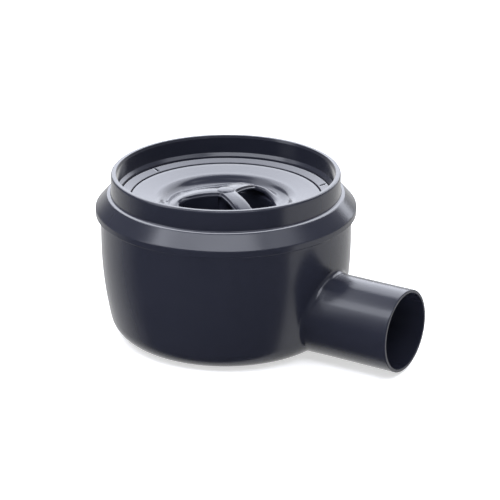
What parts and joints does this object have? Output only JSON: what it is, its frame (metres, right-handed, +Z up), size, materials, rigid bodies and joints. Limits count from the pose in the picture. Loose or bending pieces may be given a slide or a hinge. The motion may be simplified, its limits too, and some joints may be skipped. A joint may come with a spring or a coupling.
{
  "type": "gully trap",
  "caption": "Round floor gully body with a flanged collar and a level side outlet, holding a lift-out odour trap with a funnel and a spider grip.",
  "frame": {"origin": "centre of the flat base, on the axis of the bowl", "axes": "+Z up along the axis of the bowl and collar, +X along the outlet spigot, pointing out of it"},
  "size_m": [0.2037, 0.1578, 0.102],
  "materials": {
    "body_plastic": "satin anthracite moulded polypropylene",
    "trap_plastic": "satin anthracite moulded polypropylene, a shade lighter",
    "seal_rubber": "matt black rubber"
  },
  "bodies": {
    "drain_body": {"bowl": "body_plastic", "collar": "body_plastic"},
    "cup_part": {"trap_cup": "trap_plastic", "cup_seal": "seal_rubber"},
    "funnel_part": {"funnel": "trap_plastic", "funnel_seal": "seal_rubber"}
  },
  "joints": [
    {"name": "trap_lift", "type": "slide", "parent": "drain_body", "child": "cup_part", "axis": [0, 0, 1], "range_m": [0, 0.1]},
    {"name": "funnel_lift", "type": "slide", "parent": "cup_part", "child": "funnel_part", "axis": [0, 0, 1], "range_m": [0, 0.09]}
  ]
}
